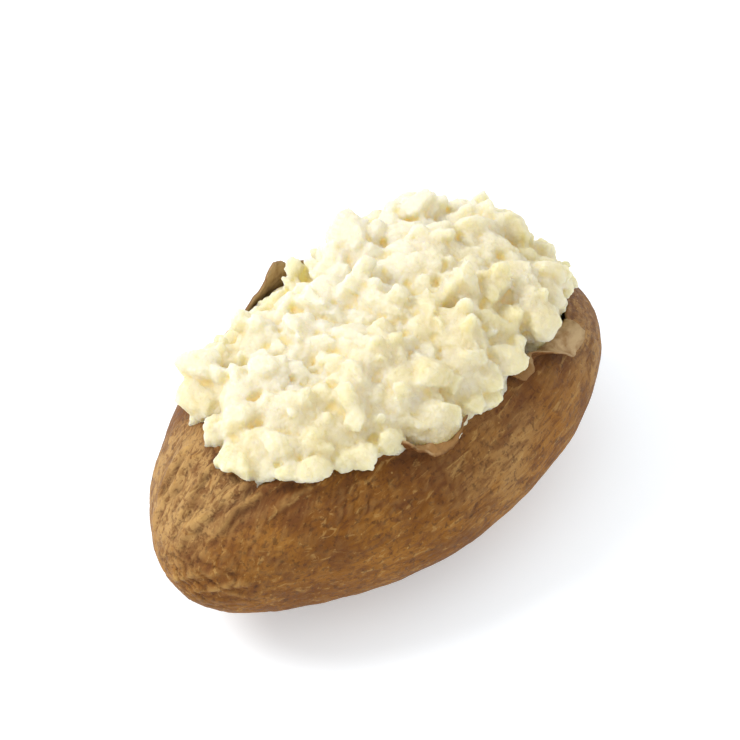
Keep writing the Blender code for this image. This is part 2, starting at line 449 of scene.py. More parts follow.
def make_skin():
    """The skin as rows of points, up its outside and down its inside. Also which side each point
    is on, from 0 outside to 1 inside, and how far up the wall it is."""
    bearing = np.arange(AROUND) * math.tau / AROUND
    foot, lip = foot_latitude(bearing), lip_latitude(bearing)
    reach, roll = free_band(bearing)
    rows, insides, heights = [], [], []

    def add_row(places, inside, height):
        rows.append(places)
        insides.append(np.full(AROUND, float(inside)))
        heights.append(np.full(AROUND, float(height)))

    sole = potato_outside(bearing, foot)
    for k in range(1, FOOT_ROWS):
        add_row(sole * np.array([k / FOOT_ROWS, k / FOOT_ROWS, 0]), 0, 0)
    outside = []
    for k in range(WALL_ROWS + 1):
        latitude = foot + (lip - foot) * k / WALL_ROWS
        normal, _ = outward_and_up(bearing, latitude)
        outside.append((potato_outside(bearing, latitude), normal))
    for k in range(1, BAND_ROWS + 1):
        outside.append(band_point(bearing, reach, roll, k / BAND_ROWS))
    places = np.array([place for place, _ in outside])
    normals = np.array([normal for _, normal in outside])
    lift = skin_relief(places)
    rows_up = np.arange(len(outside))[:, None]
    lift = lift * np.minimum(rows_up / SETTLING_ROWS, 1)
    faded = 1 - TROUGHS_LOST * smooth_step(*TROUGHS_FADE, np.minimum(rows_up / WALL_ROWS, 1))
    lift = np.where(lift < 0, lift * faded, lift)
    places = places + normals * lift[..., None]
    places[..., 2] = np.maximum(places[..., 2], 0)
    for k, row in enumerate(places):
        add_row(row, 0, min(k / WALL_ROWS, 1))
    thin = LIP_WALL + LIP_WALL_CHANGE * noise_at(on_circle(bearing), 0.2, 91)
    edge = places[-1] - normals[-1] * thin[:, None] * 0.5
    outer_way = unit(places[-1] - places[-2])
    add_row(edge + outer_way * thin[:, None] * 0.3, 0.5, 1)
    for k in range(BAND_ROWS, -1, -2):
        add_row(places[WALL_ROWS + k] - normals[WALL_ROWS + k] * thin[:, None], 1, 1)
    for k in range(1, INNER_ROWS + 1):
        share = 1 - k / INNER_ROWS
        wall = LIP_WALL + (SKIN_WALL - LIP_WALL) * min(1, 4 * (1 - share))
        latitude = foot + (lip - foot) * share
        normal, _ = outward_and_up(bearing, latitude)
        beside = round(share * WALL_ROWS)
        rows_beside = lift[max(beside - ROWS_BESIDE, 0):beside + ROWS_BESIDE + 1]
        sunk = np.minimum(rows_beside.min(axis=0), 0)
        steps_round = range(-COLUMNS_BESIDE, COLUMNS_BESIDE + 1)
        sunk = np.min([np.roll(sunk, step) for step in steps_round], axis=0)
        wall = wall - sunk + LINING_GAP * min(1, 2 * (1 - share))
        inner = potato_outside(bearing, latitude) - normal * wall[:, None]
        inner[..., 2] = np.maximum(inner[..., 2], SKIN_WALL)
        add_row(inner, 1, share)
    for k in range(FOOT_ROWS - 1, 0, -1):
        add_row(rows[-1] * np.array([k / (k + 1), k / (k + 1), 1]), 1, 0)
    return np.array(rows), np.array(insides), np.array(heights)


def faces_between(rows):
    """The four-sided faces that join each row of points to the next, all the way round."""
    index = np.arange(rows.shape[0] * rows.shape[1]).reshape(rows.shape[:2])
    beside = np.roll(index, -1, axis=1)
    faces = np.stack([index[:-1], beside[:-1], beside[1:], index[1:]], axis=-1)
    return faces.reshape(-1, 4).tolist()


def closed_tube(name, rows, attributes):
    """A closed mesh through rows of points, its first and last rows drawn in to a pole."""
    count, around = rows.shape[:2]
    poles = [rows[0].mean(axis=0), rows[-1].mean(axis=0)]
    places = np.concatenate([rows.reshape(-1, 3), poles])
    first, last, last_row = count * around, count * around + 1, (count - 1) * around
    caps = [(first, (i + 1) % around, i) for i in range(around)]
    caps += [(last, last_row + i, last_row + (i + 1) % around) for i in range(around)]
    mesh = bpy.data.meshes.new(name)
    mesh.from_pydata(places.tolist(), [], faces_between(rows) + caps)
    for label, values in attributes.items():
        layer = mesh.attributes.new(label, "FLOAT", "POINT")
        flat = np.concatenate([values.reshape(-1), [values[0].mean(), values[-1].mean()]])
        layer.data.foreach_set("value", flat.astype(np.float32))
    mesh.shade_smooth()
    obj = bpy.data.objects.new(name, mesh)
    bpy.context.scene.collection.objects.link(obj)
    return obj


def centred_on_frame(rows):
    """Moves the modelled skin so that its middle is where the frame's skin has it."""
    low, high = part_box("potato_skin")
    outside = rows.reshape(-1, 3)[:, :2]
    middle = (outside.min(axis=0) + outside.max(axis=0)) / 2
    shift = np.array([(low[k] + high[k]) / 2 - middle[k] for k in range(2)])
    return rows + np.array([*shift, 0]), shift


class Nodes:
    """A short way to write a material's nodes."""

    def __init__(self, name):
        self.material = bpy.data.materials.new(name)
        self.material.use_nodes = True
        self.tree = self.material.node_tree
        self.shader = self.tree.nodes["Principled BSDF"]
        self.place = self.add("ShaderNodeTexCoord").outputs["Object"]

    def add(self, kind, inputs=None, **settings):
        node = self.tree.nodes.new(kind)
        for key, value in settings.items():
            setattr(node, key, value)
        for key, value in (inputs or {}).items():
            self.feed(node.inputs[key], value)
        return node

    def feed(self, socket, value):
        if isinstance(value, bpy.types.NodeSocket):
            self.tree.links.new(value, socket)
        else:
            socket.default_value = value

    def stretch(self, scale):
        inputs = {"Vector": self.place, "Scale": scale}
        return self.add("ShaderNodeMapping", inputs).outputs["Vector"]

    def noise(self, scale, detail=3.0, roughness=0.55, vector=None, distortion=0.0):
        inputs = {
            "Scale": scale, "Detail": detail, "Roughness": roughness, "Distortion": distortion,
            "Vector": vector or self.place,
        }
        return self.add("ShaderNodeTexNoise", inputs).outputs["Fac"]

    def cells(self, scale, vector=None):
        inputs = {"Scale": scale, "Vector": vector or self.place}
        return self.add("ShaderNodeTexVoronoi", inputs).outputs["Distance"]

    def spread(self, value, low, high, to_low=0.0, to_high=1.0):
        inputs = {
            "Value": value, "From Min": low, "From Max": high, "To Min": to_low, "To Max": to_high,
        }
        node = self.add("ShaderNodeMapRange", inputs, interpolation_type="SMOOTHSTEP")
        return node.outputs["Result"]

    def plus(self, first, second):
        return self.add("ShaderNodeMath", {0: first, 1: second}, operation="ADD").outputs[0]

    def times(self, first, second):
        return self.add("ShaderNodeMath", {0: first, 1: second}, operation="MULTIPLY").outputs[0]

    def blend(self, share, first, second):
        node = self.add("ShaderNodeMix", data_type="RGBA")
        self.feed(node.inputs[0], share)
        self.feed(node.inputs[6], first)
        self.feed(node.inputs[7], second)
        return node.outputs[2]

    def attribute(self, name):
        return self.add("ShaderNodeAttribute", attribute_name=name).outputs["Fac"]

    def bump(self, height, depth, normal=None):
        inputs = {"Height": height, "Distance": depth, "Strength": 1.0}
        if normal is not None:
            inputs["Normal"] = normal
        return self.add("ShaderNodeBump", inputs).outputs["Normal"]


def baked_skin_material():
    n = Nodes("baked_skin")
    russet = (0.196, 0.073, 0.012, 1)
    golden = (0.300, 0.126, 0.022, 1)
    plum = (0.140, 0.052, 0.017, 1)
    tan = (0.42, 0.250, 0.096, 1)
    char = (0.060, 0.024, 0.010, 1)
    straw = (0.50, 0.30, 0.10, 1)
    inner_tan = (0.52, 0.37, 0.20, 1)
    stained_tan = (0.27, 0.145, 0.055, 1)
    along = n.stretch((0.45, 1.0, 1.0))
    colour = n.blend(n.spread(n.noise(60, 4, 0.6, along), 0.38, 0.64), russet, golden)
    high_up = n.spread(n.attribute("up_wall"), 0.62, 0.97)
    high_patch = n.times(high_up, n.spread(n.noise(70, 3), 0.30, 0.62))
    colour = n.blend(n.times(high_patch, 0.75), colour, plum)
    # Painted shade: the deep spots darken the skin towards plum low on the low end and under it.
    colour = n.blend(n.times(n.attribute("deep"), 0.85), colour, plum)
    # Painted light: the skin turns tan where the pale spots paint the light falling on it, mixed
    # with uneven tone from noise.
    uneven = n.times(n.plus(n.noise(90, 4), -0.5), 0.7)
    painted_light_and_tone = n.plus(n.attribute("pale"), uneven)
    colour = n.blend(n.spread(painted_light_and_tone, 0.10, 0.80, 0.0, 0.95), colour, tan)
    blotch = n.noise(210, 5, 0.68, along, 0.5)
    colour = n.blend(n.spread(blotch, 0.52, 0.40, 0.0, 0.60), colour, plum)
    colour = n.blend(n.spread(blotch, 0.55, 0.68, 0.0, 0.50), colour, golden)
    streak = n.noise(620, 4, 0.62, n.stretch((0.20, 1.0, 1.0)), 0.9)
    colour = n.blend(n.spread(streak, 0.50, 0.38, 0.0, 0.70), colour, plum)
    colour = n.blend(n.spread(streak, 0.56, 0.70, 0.0, 0.46), colour, straw)
    mottle = n.noise(900, 3, 0.6)
    colour = n.blend(n.spread(mottle, 0.46, 0.34, 0.0, 0.55), colour, char)
    flecks = n.times(n.spread(n.cells(520), 0.16, 0.07), n.spread(n.noise(150, 2), 0.50, 0.60))
    colour = n.blend(n.times(flecks, 0.65), colour, straw)
    small_pits = n.spread(n.cells(260, n.stretch((0.6, 1, 1))), 0.15, 0.05)
    pits = n.times(small_pits, n.spread(n.noise(110, 2), 0.52, 0.62))
    colour = n.blend(n.times(pits, 0.75), colour, char)
    # Painted shade: the hollows of the skin's relief are painted dark towards char.
    colour = n.blend(n.times(n.attribute("crease"), 0.80), colour, char)
    rubbed = n.times(n.attribute("ridge"), n.spread(n.noise(260, 4), 0.30, 0.60))
    colour = n.blend(n.times(rubbed, 0.60), colour, straw)
    stained = n.plus(n.noise(300, 4), n.times(n.attribute("stain"), 0.5))
    lining = n.blend(n.spread(stained, 0.42, 0.80), inner_tan, stained_tan)
    colour = n.blend(n.attribute("inside"), colour, lining)
    n.feed(n.shader.inputs["Base Color"], colour)
    n.feed(n.shader.inputs["Roughness"], n.spread(mottle, 0.3, 0.7, 0.46, 0.66))
    n.shader.inputs["Specular IOR Level"].default_value = 0.06
    grain = n.bump(n.noise(1500, 4, 0.65), 0.00016)
    wrinkles = n.bump(streak, 0.00035, normal=grain)
    pitted = n.bump(n.spread(n.cells(340, along), 0.0, 0.5), 0.00018, normal=wrinkles)
    n.feed(n.shader.inputs["Normal"], pitted)
    return n.material


# Spots of colour: strength, then middle and spread in millimetres. Painted light: the skin is
# painted paler where the light falls, over the top of the low end and along the near side of the
# high end. Painted shade: it is painted darker at the low end's tip and under it. Its inner side
# browned on the turned-out fold and the loose strip beside it.
PAINTED_LIGHT_SPOTS = (
    (0.95, (-57, 16, 40), 13),
    (0.90, (-45, 23, 38), 11),
    (0.60, (-53, 3, 43), 8),
    (0.25, (-66, 16, 24), 12),
    (0.45, (44, -32, 32), 26),
    (0.45, (-4, -36, 31), 16),
)
PAINTED_SHADE_SPOTS = ((0.6, (-62, -3, 26), 9), (0.5, (-50, -22, 14), 16))
STAINED_SPOTS = ((1.0, (-14, -29, 44), 8), (1.2, (9, -31, 42), 7))


def in_spots(places, spots):
    """1 in the middle of any of the spots, fading to 0 away from them."""
    total = sum(strength * near(places, centre, spread) for strength, centre, spread in spots)
    return np.clip(total, 0, 1)


CREASE_ROUNDS = 14
FULL_CREASE = 0.0004
POTATO_MIDDLE = (0, 0, 0.024)


def crease_depth(rows):
    """How far each point lies in a hollow, 1, or on a ridge, -1, against its neighbours."""
    smooth = rows.copy()
    for _ in range(CREASE_ROUNDS):
        around = (np.roll(smooth, 1, axis=1) + np.roll(smooth, -1, axis=1)) / 2
        above = np.concatenate([smooth[1:], smooth[-1:]])
        below = np.concatenate([smooth[:1], smooth[:-1]])
        smooth = smooth * 0.5 + around * 0.25 + (above + below) * 0.125
    outwards = unit(rows - np.array(POTATO_MIDDLE))
    depth = ((smooth - rows) * outwards).sum(axis=-1)
    return np.clip(depth / FULL_CREASE, -1, 1)


skin_rows, skin_inside, skin_height = make_skin()
skin_rows, centre_shift = centred_on_frame(skin_rows)
# Painted shade: the crease share darkens the hollows of the skin's relief.
hollow_or_ridge = crease_depth(skin_rows) * (skin_inside == 0)
skin = closed_tube("skin_jacket", skin_rows, {
    "inside": skin_inside,
    "up_wall": skin_height,
    "crease": np.maximum(hollow_or_ridge, 0),
    "ridge": np.maximum(-hollow_or_ridge, 0) * (skin_height < 0.97),
    # pale: painted light, paler where the light falls on the skin.
    "pale": in_spots(skin_rows, PAINTED_LIGHT_SPOTS),
    "stain": in_spots(skin_rows, STAINED_SPOTS),
    # deep: painted shade, darker low on the low end.
    "deep": in_spots(skin_rows, PAINTED_SHADE_SPOTS),
})
skin.data.materials.append(baked_skin_material())
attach(skin, "root")
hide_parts("potato_skin")


# ---------------------------------------------------------------- fluffed flesh
# Cooked flesh worked up with a fork: soft moist clumps of 2 to 16 mm with broken faces, pressed
# together into one heap over the flesh that is still in the skin.
CLUMP_KINDS = 9
CLUMP_BREAKS = 8
BREAK_REACH = (0.30, 0.52)
LARGEST_REACH = 0.66
CLUMP_ROUGHNESS = 0.12
CLUMP_FLATNESS = 0.66
CLUMP_SHARPNESS = 30
STANDING_SHARPNESS = 36
STANDING_INSET = 0.42
HEAP_VOXEL = 0.00052


def clump_shape(seed, sharpness, detail, flatness):
    """A broken lump about 1 across: flat breaks all round, with soft corners."""
    chance = np.random.default_rng(seed)
    breaks = unit(chance.normal(size=(CLUMP_BREAKS, 3)))
    reach = chance.uniform(*BREAK_REACH, size=CLUMP_BREAKS)
    stretch = np.array([1, (1 + flatness) / 2, flatness])
    mesh = bmesh.new()
    bmesh.ops.create_icosphere(mesh, subdivisions=detail, radius=1.0)
    for vertex in mesh.verts:
        way = np.array(vertex.co.normalized())
        against = np.clip(breaks @ way / reach, 0, None)
        size = (against ** sharpness).sum() ** (-1 / sharpness)
        where = Vector(way) * 2.2 + Vector((seed, 0, 0))
        rough = 1 + CLUMP_ROUGHNESS * noise.fractal(where, FINER_FADE, FINER_STEP, 3)
        vertex.co = Vector(way * stretch) * min(size, LARGEST_REACH) * rough
    data = bpy.data.meshes.new(f"clump_shape_{seed}")
    mesh.to_mesh(data)
    mesh.free()
    return data


# Clumps that stand out: place on the heap and length, breadth and thickness in millimetres, and
# how far each is turned where it lies, in degrees.
STANDING_CLUMPS = (
    ((-30, 22, 49), (14, 12, 11), 60),
    ((-26, 10, 55), (11, 9, 8), 20),
    ((-40, 9, 51), (7, 8, 7), 0),
    ((-34, -3, 53), (16, 13, 11), 35),
    ((-38, -8, 50), (11, 9, 8), -20),
    ((-22, -12, 56), (12, 11, 9), 60),
    ((-45, 0, 48), (9, 10, 10), 10),
    ((-25, 24, 50), (10, 8, 8), 0),
    ((42, -24, 41), (8, 7, 8), 0),
    ((38, -20, 42), (10, 9, 10), 0),
    ((29, -21, 44), (10, 9, 9), 30),
    ((44, -16, 42), (9, 8, 8), 60),
    ((36, -25, 40), (9, 8, 8), 0),
    ((0, -26, 48), (15, 16, 14), 70),
    ((-5, -26, 47), (10, 11, 10), 15),
    ((5, -21, 57), (13, 11, 10), 80),
    ((-8, -11, 58), (16, 9, 8), -12),
    ((4, -5, 59), (14, 10, 8), 75),
    ((-13, 10, 57), (9, 8, 7), 15),
    ((-2, 14, 57), (11, 8, 6), 10),
    ((6, 6, 60), (12, 6, 6), 35),
    ((12, 18, 56), (11, 8, 6), 20),
    ((23, -4, 59), (16, 13, 9), 30),
    ((16, -15, 59), (10, 8, 7), -30),
    ((37, 11, 58), (11, 9, 8), 0),
    ((29, 8, 58), (9, 7, 7), 20),
    ((43, -4, 58), (14, 11, 9), 50),
    ((28, -25, 53), (13, 11, 9), 10),
    ((37, -24, 48), (13, 11, 10), 70),
    ((34, -17, 54), (12, 11, 9), 20),
    ((43, -23, 42), (9, 9, 9), 30),
    ((42, -17, 46), (10, 9, 8), 80),
    ((22, -20, 58), (9, 6, 6), -10),
    ((15, -25, 54), (11, 9, 8), 45),
    ((-16, 21, 53), (11, 8, 7), 70),
    ((26, 10, 57), (10, 6, 6), 5),
    ((22, 16, 57), (9, 7, 7), 0),
    ((28, -26, 47), (9, 7, 7), 0),
    ((34, -28, 43), (9, 7, 7), 30),
    ((19, -27, 47), (9, 7, 7), 20),
    ((-12, -26, 47), (9, 8, 7), 10),
    ((-17, -25, 46), (9, 7, 7), 60),
    ((-8, -28, 44), (8, 7, 6), 0),
    ((-1, -30, 43), (9, 7, 6), 30),
    ((5, -30, 46), (12, 9, 8), 70),
    ((-33, -13, 50), (11, 9, 8), 25),
    ((-14, -22, 53), (10, 9, 8), 0),
    ((-24, -18, 51), (10, 8, 8), -25),
    ((-36, 21, 44), (9, 8, 8), 40),
)
# Where few clumps lie or none: the middle and spread of each place in millimetres, and how far
# under the lip, in metres, it counts as being. Only crumbs lie along the far brow and at the high
# end, and nothing lies just inside the lip at one near spot.
SPARSE_SPOTS = (
    ((11, 29, 53), 10, 0.0005),
    ((2, 28, 50), 6, 0.0005),
    ((-14, 31, 46), 8, 0.0005),
    ((36, 18, 54), 6, 0.0005),
    ((48, -21, 46), 11, 0.0005),
    ((-38, -15, 43), 5, 0.010),
)
CLUMP_MARGIN = 0.0
CRUMB_MARGIN = 0.0015
# Clumps point away from a low spine inside the heap: its share of a place's X and Y, its height.
SPINE_X_SHARE = 0.8
SPINE_Y_SHARE = 0.3
SPINE_HEIGHT = 0.036


def above_lip(places):
    """How far each place is above the torn edge of the skin at the same bearing."""
    moved = places - np.array([*centre_shift, 0])
    bearing = np.arctan2(moved[..., 1] / HALF_WIDTH, moved[..., 0] / HALF_LENGTH)
    return places[..., 2] - potato_outside(bearing, lip_latitude(bearing))[..., 2]


def out_of_heap(place):
    """The way out of the heap at a place: up, and out to the side."""
    spine = Vector((place.x * SPINE_X_SHARE, place.y * SPINE_Y_SHARE, SPINE_HEIGHT))
    return (place - spine).normalized()


def renumber(mesh):
    """Gives a mesh that lost some of its points and faces an unbroken numbering again."""
    data = bpy.data.meshes.new("renumbered")
    mesh.to_mesh(data)
    mesh.clear()
    mesh.from_mesh(data)
    bpy.data.meshes.remove(data)


# The slanting cut under the heap, a little below the lip: its height at the middle, and how much
# it falls with every metre along X and Y.
CUT_HEIGHT = 0.0350
CUT_FALL_X = 0.06
CUT_FALL_Y = 0.11
# How far the flesh draws in inside the skin, over the heap, over the heap's far side and at the
# hollow in its far brow, so that the clumps come out level with the real heap.
SKIN_GAP = 0.0008
HEAP_DRAWN_IN = 0.0024
HEAP_STARTS = (0.005, 0.013)
FAR_SIDE_DRAWN_IN = 0.0014
FAR_SIDE_STARTS_Y = (0.008, 0.020)
FAR_SIDE_STARTS_Z = (0.040, 0.050)
BROW_DRAWN_IN = 0.0040
FAR_BROW = ((12, 28, 52), 12)


def cut_height(x, y):
    return CUT_HEIGHT - CUT_FALL_X * x - CUT_FALL_Y * y


def cut_bed():
    """The frame's flesh drawn in a little towards its top and cut off flat inside the skin."""
    mesh = bmesh.new()
    mesh.from_mesh(frame["nodes"]["potato_flesh"].data)
    bmesh.ops.remove_doubles(mesh, verts=mesh.verts, dist=0.00001)
    renumber(mesh)
    mesh.normal_update()
    for vertex in mesh.verts:
        place = np.array(vertex.co)
        above = vertex.co.z - cut_height(vertex.co.x, vertex.co.y)
        drawn_in = SKIN_GAP + HEAP_DRAWN_IN * float(smooth_step(*HEAP_STARTS, above))
        far_side = smooth_step(*FAR_SIDE_STARTS_Y, place[1])
        far_side = far_side * smooth_step(*FAR_SIDE_STARTS_Z, place[2])
        sunk = FAR_SIDE_DRAWN_IN * far_side + BROW_DRAWN_IN * near(place, *FAR_BROW)
        vertex.co -= vertex.normal * drawn_in + out_of_heap(vertex.co) * float(sunk)
    cut = bmesh.ops.bisect_plane(
        mesh, geom=mesh.verts[:] + mesh.edges[:] + mesh.faces[:], plane_co=(0, 0, CUT_HEIGHT),
        plane_no=Vector((CUT_FALL_X, CUT_FALL_Y, 1.0)).normalized(), clear_inner=True,
    )
    edges = [edge for edge in cut["geom_cut"] if isinstance(edge, bmesh.types.BMEdge)]
    bmesh.ops.holes_fill(mesh, edges=edges)
    renumber(mesh)
    return mesh


def add_standing_clumps(mesh):
    for number, (place, size, spin) in enumerate(STANDING_CLUMPS):
        place, size = Vector(place) / 1000, Vector(size) / 1000
        outward = out_of_heap(place)
        turned = outward.to_track_quat("Z", "Y") @ Quaternion((0, 0, 1), math.radians(spin))
        lump = clump_shape(200 + number, STANDING_SHARPNESS, 3, 1.0)
        lump.transform(
            Matrix.Translation(place - outward * size.z * STANDING_INSET)
            @ turned.to_matrix().to_4x4() @ Matrix.Diagonal((*size, 1))
        )
        mesh.from_mesh(lump)
        bpy.data.meshes.remove(lump)


# How far above the lip scattered clumps start, how uneven that edge is, and how much of the
# standing clumps takes them, in metres.
LEAST_ABOVE_LIP = 0.0015
EDGE_UNEVENNESS = 0.0010
ON_CLUMPS_UNEVENNESS = 0.002
ON_CLUMPS_LESS = 0.0002


def heap_bed():
    """The cut flesh with its standing clumps, and how free each point is to carry others."""
    mesh = cut_bed()
    bed_size = len(mesh.verts)
    add_standing_clumps(mesh)
    bmesh.ops.triangulate(mesh, faces=mesh.faces)
    data = bpy.data.meshes.new("heap_bed")
    mesh.to_mesh(data)
    mesh.free()
    places = np.array([vertex.co for vertex in data.vertices])
    clear = above_lip(places) - LEAST_ABOVE_LIP + EDGE_UNEVENNESS * noise_at(places, 0.008, 120)
    for centre, spread, under_lip in SPARSE_SPOTS:
        inside = near(places, centre, spread) > 0.4
        clear = np.where(inside, np.minimum(clear, -under_lip), clear)
    uneven = noise_at(places[bed_size:], 0.006, 121)
    on_clumps = ON_CLUMPS_UNEVENNESS * uneven - ON_CLUMPS_LESS
    clear[bed_size:] = np.minimum(clear[bed_size:], on_clumps)
    layer = data.attributes.new("open_heap", "FLOAT", "POINT")
    layer.data.foreach_set("value", clear.astype(np.float32))
    return data


MOST_CLUMPS_PER_SQUARE_METRE = 400000


def clump_collection():
    kinds = bpy.data.collections.new("clump_kinds")
    bpy.context.scene.collection.children.link(kinds)
    for number in range(CLUMP_KINDS):
        shape = clump_shape(number, CLUMP_SHARPNESS, 2, CLUMP_FLATNESS)
        kind = bpy.data.objects.new(f"clump_kind_{number}", shape)
        kinds.objects.link(kind)
        kind.hide_render = True
    return kinds


def scatter_tree(name, layers, kinds):
    """Nodes that scatter lumps over a surface, layer by layer, and keep the surface under them."""
    tree = bpy.data.node_groups.new(name, "GeometryNodeTree")
    socket = tree.interface.new_socket
    socket("Geometry", in_out="INPUT", socket_type="NodeSocketGeometry")
    socket("Geometry", in_out="OUTPUT", socket_type="NodeSocketGeometry")
    socket("Finish", in_out="INPUT", socket_type="NodeSocketMaterial")
    for label, *_ in layers:
        for what in ("Spacing", "Smallest", "Largest"):
            socket(f"{label} {what}", in_out="INPUT", socket_type="NodeSocketFloat")
    new, link = tree.nodes.new, tree.links.new
    given, result = new("NodeGroupInput"), new("NodeGroupOutput")
    join = new("GeometryNodeJoinGeometry")
    link(given.outputs["Geometry"], join.inputs[0])
    clear = new("GeometryNodeInputNamedAttribute")
    clear.data_type = "FLOAT"
    clear.inputs["Name"].default_value = "open_heap"
    source = new("GeometryNodeCollectionInfo")
    source.inputs["Collection"].default_value = kinds
    source.inputs["Separate Children"].default_value = True
    source.inputs["Reset Children"].default_value = True
    for label, seed, _, _, _, tilt, margin in layers:
        in_the_open = new("FunctionNodeCompare")
        in_the_open.operation = "GREATER_THAN"
        in_the_open.inputs[1].default_value = -margin
        link(clear.outputs["Attribute"], in_the_open.inputs[0])
        points = new("GeometryNodeDistributePointsOnFaces")
        points.distribute_method = "POISSON"
        points.inputs["Density Max"].default_value = MOST_CLUMPS_PER_SQUARE_METRE
        points.inputs["Seed"].default_value = seed
        link(given.outputs[f"{label} Spacing"], points.inputs["Distance Min"])
        link(given.outputs["Geometry"], points.inputs["Mesh"])
        link(in_the_open.outputs[0], points.inputs["Selection"])
        turn = new("FunctionNodeRandomValue")
        turn.data_type = "FLOAT_VECTOR"
        turn.inputs[0].default_value = (-tilt, -tilt, 0)
        turn.inputs[1].default_value = (tilt, tilt, math.tau)
        turn.inputs["Seed"].default_value = seed + 1
        euler = new("FunctionNodeEulerToRotation")
        link(turn.outputs[0], euler.inputs[0])
        laid = new("FunctionNodeRotateRotation")
        laid.rotation_space = "LOCAL"
        link(points.outputs["Rotation"], laid.inputs[0])
        link(euler.outputs[0], laid.inputs[1])
        size = new("FunctionNodeRandomValue")
        size.data_type = "FLOAT"
        size.inputs["Seed"].default_value = seed + 2
        link(given.outputs[f"{label} Smallest"], size.inputs[2])
        link(given.outputs[f"{label} Largest"], size.inputs[3])
        place = new("GeometryNodeInstanceOnPoints")
        place.inputs["Pick Instance"].default_value = True
        link(points.outputs["Points"], place.inputs["Points"])
        link(source.outputs[0], place.inputs["Instance"])
        link(laid.outputs[0], place.inputs["Rotation"])
        link(size.outputs[1], place.inputs["Scale"])
        real = new("GeometryNodeRealizeInstances")
        link(place.outputs[0], real.inputs[0])
        link(real.outputs[0], join.inputs[0])
    paint = new("GeometryNodeSetMaterial")
    link(join.outputs[0], paint.inputs["Geometry"])
    link(given.outputs["Finish"], paint.inputs["Material"])
    link(paint.outputs[0], result.inputs[0])
    return tree


def scattered(obj, tree, layers, finish, voxel):
    """Runs a scatter tree on an object, fuses it all, and gives the plain mesh that comes out."""
    modifier = obj.modifiers.new("scatter", "NODES")
    modifier.node_group = tree
    items = tree.interface.items_tree
    sockets = {item.name: item.identifier for item in items if item.in_out == "INPUT"}
    modifier[sockets["Finish"]] = finish
    for label, _, spacing, smallest, largest, _, _ in layers:
        modifier[sockets[f"{label} Spacing"]] = spacing
        modifier[sockets[f"{label} Smallest"]] = smallest
        modifier[sockets[f"{label} Largest"]] = largest
    fuse = obj.modifiers.new("fuse", "REMESH")
    fuse.mode = "VOXEL"
    fuse.voxel_size = voxel
    fuse.use_smooth_shade = True
    bpy.context.view_layer.update()
    graph = bpy.context.evaluated_depsgraph_get()
    mesh = bpy.data.meshes.new_from_object(obj.evaluated_get(graph))
    obj.modifiers.clear()
    return mesh


def fluffed_flesh_material():
    n = Nodes("fluffed_flesh")
    cream = (0.712, 0.650, 0.468, 1)
    pale = (0.705, 0.622, 0.375, 1)
    white = (0.762, 0.715, 0.560, 1)
    shade_yolk = (0.85, 0.735, 0.335, 1)
    colour = n.blend(n.spread(n.noise(120, 3, 0.6), 0.35, 0.65), cream, pale)
    axes = n.add("ShaderNodeSeparateXYZ", {"Vector": n.place}).outputs
    # Painted light: the flesh is painted whiter towards the top of the heap's far side, where the
    # light falls.
    painted_lit_top = n.times(n.spread(axes["Y"], -0.018, 0.010), n.spread(axes["Z"], 0.048, 0.057))
    colour = n.blend(painted_lit_top, colour, white)
    # Painted shade: the hollows between the clumps are painted a stronger yellow, the colour of
    # the warm shade there.
    colour = n.blend(n.spread(n.attribute("hollow"), 0.15, 1.0, 0.0, 0.85), colour, shade_yolk)
    n.feed(n.shader.inputs["Base Color"], colour)
    n.shader.inputs["Roughness"].default_value = 0.5
    n.shader.inputs["Specular IOR Level"].default_value = 0.33
    n.shader.inputs["Subsurface Weight"].default_value = 0.85
    n.shader.inputs["Subsurface Radius"].default_value = (1.0, 0.88, 0.48)
    n.shader.inputs["Subsurface Scale"].default_value = 0.0075
    crumbly = n.bump(n.noise(700, 4, 0.65), 0.00055)
    fine = n.bump(n.cells(1100), 0.00012, normal=crumbly)
    n.feed(n.shader.inputs["Normal"], fine)
    return n.material


def gap_between_grains(places, size):
    """0 in the gaps between cells of that size, rising towards their middles."""
    gaps = np.empty(len(places))
    for number, place in enumerate(places / size):
        distances, _ = noise.voronoi(Vector(place))
        gaps[number] = distances[1] - distances[0]
    return gaps


def neighbour_average(values, ends, count):
    """Each point's average over the points that an edge joins to it."""
    total = np.zeros_like(values)
    np.add.at(total, ends[:, 0], values[ends[:, 1]])
    np.add.at(total, ends[:, 1], values[ends[:, 0]])
    return total / count[:, None]


FLOOR_DEPTH = 0.0006


def flatten_hidden_floor(mesh):
    """Replaces the many small faces of the heap's hidden flat floor with one."""
    work = bmesh.new()
    work.from_mesh(mesh)
    hidden = [v for v in work.verts if v.co.z < cut_height(v.co.x, v.co.y) + FLOOR_DEPTH]
    bmesh.ops.delete(work, geom=hidden, context="VERTS")
    rim = [edge for edge in work.edges if edge.is_boundary]
    bmesh.ops.holes_fill(work, edges=rim)
    work.to_mesh(mesh)
    work.free()


def keep_largest_part(mesh):
    """Drops crumbs that the fusing left apart from the heap."""
    work = bmesh.new()
    work.from_mesh(mesh)
    unseen, parts = set(work.verts), []
    while unseen:
        waiting, part = [unseen.pop()], []
        while waiting:
            vertex = waiting.pop()
            part.append(vertex)
            for edge in vertex.link_edges:
                other = edge.other_vert(vertex)
                if other in unseen:
                    unseen.remove(other)
                    waiting.append(other)
        parts.append(part)
    parts.sort(key=len)
    bmesh.ops.delete(work, geom=[v for part in parts[:-1] for v in part], context="VERTS")
    work.to_mesh(mesh)
    work.free()


# Bearing and half width, in degrees, of the stretches of lip that are turned out. Flesh that is
# lower than this above the lip there stays this deep inside the skin's outer face.
TURNED_OUT = ((-62, 14), (-106, 22))
TUCKED_BELOW = 0.0010
TUCKED_DEPTH = 0.0020


